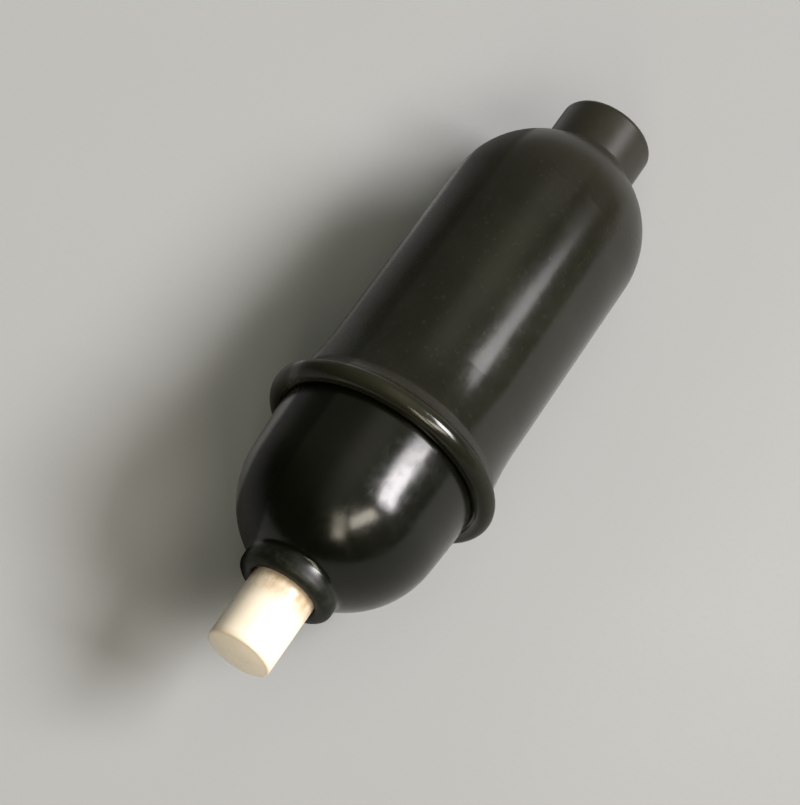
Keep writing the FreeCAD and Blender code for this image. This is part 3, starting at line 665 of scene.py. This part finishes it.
def socket_thread_mesh(sizes):
    """The handle's moulded thread: a ridge that stands in the cap's groove."""
    steps_per_turn = 96
    taper_steps = 12
    thinnest = 0.05
    filled_depth = sizes.thread_depth * 0.82
    start_gap = 0.0004
    end_gap = 0.0006
    low = -sizes.spigot_end + sizes.spigot_chamfer + start_gap
    turns = (-end_gap - low) / sizes.thread_pitch
    steps = math.ceil(turns * steps_per_turn)
    offset = FULL_TURN * low / sizes.thread_pitch
    sections = []
    for step in range(steps + 1):
        angle = FULL_TURN * turns * step / steps
        level = low + sizes.thread_pitch * angle / FULL_TURN
        taper = smooth_step(step, 0, taper_steps) * smooth_step(steps - step, 0, taper_steps)
        reach = filled_depth * max(taper, thinnest)
        section = []
        for across, depth in RIDGE:
            radius = sizes.socket_radius - reach * depth
            height = level + across * sizes.thread_pitch
            section.append((radius * math.cos(angle + offset), radius * math.sin(angle + offset), height))
        sections.append(section)
    return swept(sections)


def spring_mesh(sizes, foot, top):
    """The return spring with its end turns closed against their neighbours."""
    wire = sizes.spring_wire / 2
    low = foot + wire
    high = top - wire
    closed = 0.8
    blend = 0.25
    steps_per_turn = 40
    wire_sides = 14
    turns = sizes.spring_turns
    steps = turns * steps_per_turn
    pitch_ends = sizes.spring_wire * 1.02
    pitch_middle = (high - low - 2 * closed * pitch_ends) / (turns - 2 * closed)
    heights = [0.0]
    for step in range(steps):
        turn = (step + 0.5) / steps * turns
        ends = 1 - smooth_step(turn, closed - blend, closed + blend)
        ends += smooth_step(turn, turns - closed - blend, turns - closed + blend)
        pitch = pitch_ends * ends + pitch_middle * (1 - ends)
        heights.append(heights[-1] + pitch * turns / steps)
    stretch = (high - low) / heights[-1]
    sections = []
    for step, rise in enumerate(heights):
        angle = FULL_TURN * turns * step / steps
        out = Vector((math.cos(angle), math.sin(angle), 0))
        centre = out * sizes.spring_radius + Vector((0, 0, low + rise * stretch))
        section = []
        for side in range(wire_sides):
            around = FULL_TURN * side / wire_sides
            point = centre + out * wire * math.cos(around) - Vector((0, 0, wire * math.sin(around)))
            section.append(tuple(point))
        sections.append(section)
    return swept(sections)


def screw_mesh(sizes, screw):
    """A slotted cheese-head screw, its head above z = 0 and its threaded shank below."""
    depth = sizes.screw_pitch * 0.30
    bevel = screw.head * 0.09
    tip = 0.0004
    rows_per_pitch = 7
    rows = math.ceil((screw.reach - tip) / (sizes.screw_pitch / rows_per_pitch))
    low = -screw.reach + tip
    shank_rows = [(screw.shank, low - low * row / rows) for row in range(rows)]
    points = [(0, -screw.reach), (screw.shank * 0.45, -screw.reach)] + shank_rows + [
        (screw.shank, 0),
        (screw.head - bevel * 0.4, 0),
        (screw.head, bevel * 0.4),
        (screw.head, screw.head_height - bevel),
        (screw.head - bevel * 0.3, screw.head_height - bevel * 0.3),
        (screw.head - bevel, screw.head_height),
        (0, screw.head_height),
    ]

    def shape(radius, height, angle):
        if abs(radius - screw.shank) > NEAR or height > -screw.plain or height < low - NEAR:
            return radius
        fade = smooth_step(-height, screw.plain, screw.plain + sizes.screw_pitch)
        return radius - depth * fade * thread_groove(height, angle, sizes.screw_pitch)

    return turned(points, SCREW_SEGMENTS, shape)


def cut_slot(piece, width, depth, screw):
    """Cuts a screwdriver slot across the top of a screw, in the piece's own space."""
    overhang = 0.001
    low = screw.head_height - depth
    high = screw.head_height + overhang
    reach = screw.head * 1.3
    outline = ((-reach, -width / 2), (reach, -width / 2), (reach, width / 2), (-reach, width / 2))
    corners = [(x, y, z) for z in (low, high) for x, y in outline]
    sides = [(3, 2, 1, 0), (4, 5, 6, 7), (0, 1, 5, 4), (1, 2, 6, 5), (2, 3, 7, 6), (3, 0, 4, 7)]
    mesh = bpy.data.meshes.new("slot_cutter")
    mesh.from_pydata(corners, [], sides)
    cutter = bpy.data.objects.new("slot_cutter", mesh)
    cutter.matrix_world = piece.matrix_world
    bpy.context.scene.collection.objects.link(cutter)
    cut = piece.modifiers.new("slot", "BOOLEAN")
    cut.object = cutter
    cut.operation = "DIFFERENCE"
    cut.solver = "EXACT"
    bpy.context.view_layer.update()
    result = bpy.data.meshes.new_from_object(piece.evaluated_get(bpy.context.evaluated_depsgraph_get()))
    piece.modifiers.clear()
    piece.data = result
    bpy.data.objects.remove(cutter)
    result.shade_smooth()
    result.set_sharp_from_angle(angle=SCREW_SHARP)


def screws(name, sizes, places, screw, level, material, facing=1, turn=0.0):
    """Equal screws joined into one piece, each with its head bearing on a level and its slot at an angle."""
    turn_between = 0.7
    made = []
    for number, (x, y) in enumerate(places):
        vertices, faces = screw_mesh(sizes, screw)
        piece = new_piece(f"{name}_{number}", vertices, faces, material, SCREW_SHARP)
        cut_slot(piece, sizes.slot_width, sizes.slot_depth, screw)
        spin = Matrix.Rotation(turn + turn_between * number, 4, "Z")
        flip = Matrix.Rotation(math.pi, 4, "X") if facing < 0 else Matrix.Identity(4)
        piece.data.transform(Matrix.Translation((x, y, level)) @ flip @ spin)
        made.append(piece)
    with bpy.context.temp_override(active_object=made[0], selected_editable_objects=made):
        if len(made) > 1:
            bpy.ops.object.join()
    made[0].name = name
    return made[0]


def opposite(x, y):
    """A place and the one half a turn round from it."""
    return [(x, y), (-x, -y)]


# Operators


def dress(nodes, material):
    """Gives CAD nodes a finish."""
    for name in nodes:
        node = frame["nodes"][name]
        node.data.materials.clear()
        node.data.materials.append(material)


class RELEASE_OT_handle(bpy.types.Operator):
    """Finish the handle and add the moulded thread in its socket"""

    bl_idname = "release.handle"
    bl_label = "Handle"

    def execute(self, context):
        moulding = handle_moulding(context.scene.release_colours)
        dress(["handle_body"], moulding)
        vertices, faces = socket_thread_mesh(context.scene.release_sizes)
        thread = new_piece("socket_thread", vertices, faces, moulding)
        hand_over(thread, "handle")
        return {"FINISHED"}


class RELEASE_OT_cap(bpy.types.Operator):
    """Build the screwed cap with its dome, lip and guide"""

    bl_idname = "release.cap"
    bl_label = "Cap"

    def execute(self, context):
        vertices, faces = cap_mesh(context.scene.release_sizes)
        cap = new_piece("screwed_cap", vertices, faces, cap_moulding(context.scene.release_colours))
        hand_over(cap, "cap", ["front_cap"])
        return {"FINISHED"}


class RELEASE_OT_button(bpy.types.Operator):
    """Finish the cream button"""

    bl_idname = "release.button"
    bl_label = "Button"

    def execute(self, context):
        dress(["push_button"], button_moulding(context.scene.release_colours))
        return {"FINISHED"}


class RELEASE_OT_contacts(bpy.types.Operator):
    """Finish the contact base, strips, points, disc, inserts and washers"""

    bl_idname = "release.contacts"
    bl_label = "Contacts"

    def execute(self, context):
        colours = context.scene.release_colours
        dress(["contact_base"], base_moulding(colours))
        strip = metal("strip_brass", colours.brass, 0.24, stretch=(1, 12, 1))
        dress(["right_contact_strip", "left_contact_strip", "contact_disc", "terminal_washers"], strip)
        dress(["terminal_inserts"], metal("turned_brass", colours.turned_brass, 0.26, stretch=(6, 6, 0.6)))
        dress(["right_contact_point", "left_contact_point"],
              metal("contact_silver", colours.silver, 0.22, tarnish=(0.22, 0.19, 0.15), rub=0.5))
        dress(["base_screw_washers", "disc_lock_washer"],
              metal("screw_steel", colours.steel, 0.26, tarnish=(0.24, 0.20, 0.16), stretch=(6, 6, 0.6)))
        return {"FINISHED"}


class RELEASE_OT_screws(bpy.types.Operator):
    """Build the slotted screws with their threads"""

    bl_idname = "release.screws"
    bl_label = "Screws"

    def execute(self, context):
        sizes = context.scene.release_sizes
        colours = context.scene.release_colours
        washer_top = -0.0046
        disc_washer_face = 0.0040
        diagonal = 0.0069 * math.cos(math.radians(45))
        brass = screw_metal("turned_brass_screw", colours.turned_brass, 0.22, (0.25, 0.14, 0.05))
        steel = screw_metal("screw_steel_thread", colours.steel, 0.24, (0.26, 0.20, 0.15))
        terminals = screws("threaded_terminal_screws", sizes, opposite(0.00525, -0.00385), TERMINAL_SCREW,
                           washer_top, brass, turn=0.5)
        hand_over(terminals, "handle", ["terminal_screws"])
        fixing = screws("threaded_base_screws", sizes, opposite(diagonal, diagonal), BASE_SCREW,
                        washer_top, steel, turn=1.1)
        hand_over(fixing, "handle", ["base_screws"])
        disc = screws("threaded_disc_screw", sizes, [(0, 0)], DISC_SCREW,
                      disc_washer_face, brass, facing=-1, turn=0.3)
        hand_over(disc, "button", ["disc_screw"])
        return {"FINISHED"}


class RELEASE_OT_spring(bpy.types.Operator):
    """Build the return spring, which shortens as the button goes in"""

    bl_idname = "release.spring"
    bl_label = "Spring"

    def execute(self, context):
        foot = -0.00898
        top = 0.00438
        wire = metal("spring_wire", context.scene.release_colours.spring, 0.2, upright=True,
                     tarnish=(0.17, 0.12, 0.09), rub=0.3)
        vertices, faces = spring_mesh(context.scene.release_sizes, foot, top)
        spring = new_piece("coiled_return_spring", vertices, faces, wire)
        hand_over(spring, "spring", ["return_spring"])
        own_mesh(spring)
        return {"FINISHED"}


def panel_light(name, azimuths, elevations, radiance, shade):
    """An upright rectangular light 2 m from the release, given by the directions of its edges in degrees.

    Azimuths run from +X towards +Y, and elevations are at its middle.
    """
    away = 2.0
    release_height = 0.02
    left, right = azimuths
    low, high = elevations
    middle = math.radians((left + right) / 2)
    width = 2 * away * math.tan(math.radians((right - left) / 2))
    foot = away * math.tan(math.radians(low))
    height = away * math.tan(math.radians(high)) - foot
    lamp = bpy.data.lights.new(name, "AREA")
    lamp.shape = "RECTANGLE"
    lamp.size = width
    lamp.size_y = height
    lamp.energy = radiance * math.pi * width * height
    lamp.color = shade
    light = bpy.data.objects.new(name, lamp)
    outwards = Vector((math.cos(middle), math.sin(middle), 0))
    light.location = away * outwards + Vector((0, 0, release_height + foot + height / 2))
    light.rotation_euler = outwards.to_track_quat("Z", "Y").to_euler()
    light.visible_camera = False
    bpy.context.scene.collection.objects.link(light)


class RELEASE_OT_stage(bpy.types.Operator):
    """Set up the table, the lights and the camera"""

    bl_idname = "release.stage"
    bl_label = "Stage"

    def execute(self, context):
        scene = context.scene
        stage = scene.release_stage
        daylight = (1.0, 0.965, 0.975)
        self.lay_table(scene)
        panel_light("window", (3, 34), (31, 49.8), stage.window, daylight)
        panel_light("window_edge", (34, 41), (38, 49.8), stage.window * 0.6, daylight)
        panel_light("window_side", (34.2, 43.5), (26, 37.8), stage.window * 0.18, (1.0, 0.97, 0.98))
        panel_light("near_pane", (-50, -12), (38, 50), stage.panes, (1.0, 0.93, 0.78))
        panel_light("far_pane", (-72, -59), (27, 53), stage.panes * 0.62, (1.0, 0.91, 0.72))
        self.light_room(scene)
        self.place_camera(scene)
        scene.view_settings.view_transform = "Standard"
        return {"FINISHED"}

    def lay_table(self, scene):
        reach = 3.0
        mesh = bpy.data.meshes.new("table")
        mesh.from_pydata([(-reach, -reach, 0), (reach, -reach, 0), (reach, reach, 0), (-reach, reach, 0)], [],
                         [(0, 1, 2, 3)])
        mesh.materials.append(table_top(scene.release_colours))
        table = bpy.data.objects.new("table", mesh)
        scene.collection.objects.link(table)

    def light_room(self, scene):
        """A soft room: a ceiling with a brighter strip, and walls that are lighter towards the window."""
        stage = scene.release_stage
        world = bpy.data.worlds.new("room")
        world.use_nodes = True
        room = Nodes(world.node_tree)
        x, y, z = room.split(room.add("ShaderNodeTexCoord").outputs["Generated"])
        overhead = z.rise(0.66, 0.88)
        ceiling = ((x * 0.87 + y * 0.5).rise(-0.6, 0.4) * 0.75 + 0.25) * stage.ceiling
        ceiling = ceiling * (x.band(-0.05, 0.10, 0.30) + 0.95)
        walls = ((x * 0.5 + y * 0.87).rise(-0.9, 0.5) * 0.85 + 0.15) * stage.walls
        background = world.node_tree.nodes["Background"]
        background.inputs["Color"].default_value = (1.0, 0.99, 0.82, 1)
        room.feed(background.inputs["Strength"], overhead * ceiling + (1 - overhead) * walls)
        scene.world = world

    def place_camera(self, scene):
        stage = scene.release_stage
        distance = 0.296
        aside = 0.00225
        above = 0.0060
        flat = math.cos(stage.elevation)
        forward = Vector((-math.sin(stage.azimuth) * flat, math.cos(stage.azimuth) * flat,
                          -math.sin(stage.elevation)))
        right = Vector((math.cos(stage.azimuth), math.sin(stage.azimuth), 0))
        up = right.cross(forward)
        spot = MIDDLE + aside * right + above * up - distance * forward
        lens = bpy.data.cameras.new("camera")
        lens.lens = stage.focal_length
        lens.sensor_width = 36
        lens.clip_start = 0.01
        camera = bpy.data.objects.new("camera", lens)
        camera.matrix_world = Matrix.Translation(spot) @ Matrix((right, up, -forward)).transposed().to_4x4()
        scene.collection.objects.link(camera)
        scene.camera = camera


class RELEASE_PT_panel(bpy.types.Panel):
    """Lists the settings and the steps that build the release"""

    bl_label = "Push-button release"
    bl_idname = "RELEASE_PT_panel"
    bl_space_type = "VIEW_3D"
    bl_region_type = "UI"
    bl_category = "Release"

    def draw(self, context):
        layout = self.layout
        for step in STEPS:
            layout.operator(step.bl_idname)
        for group in GROUPS:
            settings = getattr(context.scene, group)
            box = layout.box()
            for name in settings.bl_rna.properties.keys():
                if name not in ("rna_type", "name"):
                    box.prop(settings, name)


GROUPS = {"release_sizes": ReleaseSizes, "release_colours": ReleaseColours, "release_stage": ReleaseStage}
STEPS = (RELEASE_OT_handle, RELEASE_OT_cap, RELEASE_OT_button, RELEASE_OT_contacts, RELEASE_OT_screws,
         RELEASE_OT_spring, RELEASE_OT_stage)


def register():
    for group in GROUPS.values():
        bpy.utils.register_class(group)
    for step in STEPS + (RELEASE_PT_panel,):
        bpy.utils.register_class(step)
    for name, group in GROUPS.items():
        setattr(bpy.types.Scene, name, PointerProperty(type=group))


def unregister():
    for name in GROUPS:
        delattr(bpy.types.Scene, name)
    for step in reversed(STEPS + (RELEASE_PT_panel,)):
        bpy.utils.unregister_class(step)
    for group in reversed(list(GROUPS.values())):
        bpy.utils.unregister_class(group)


def main():
    register()
    for step in STEPS:
        family, action = step.bl_idname.split(".")
        getattr(getattr(bpy.ops, family), action)()


if __name__ == "__main__":
    main()
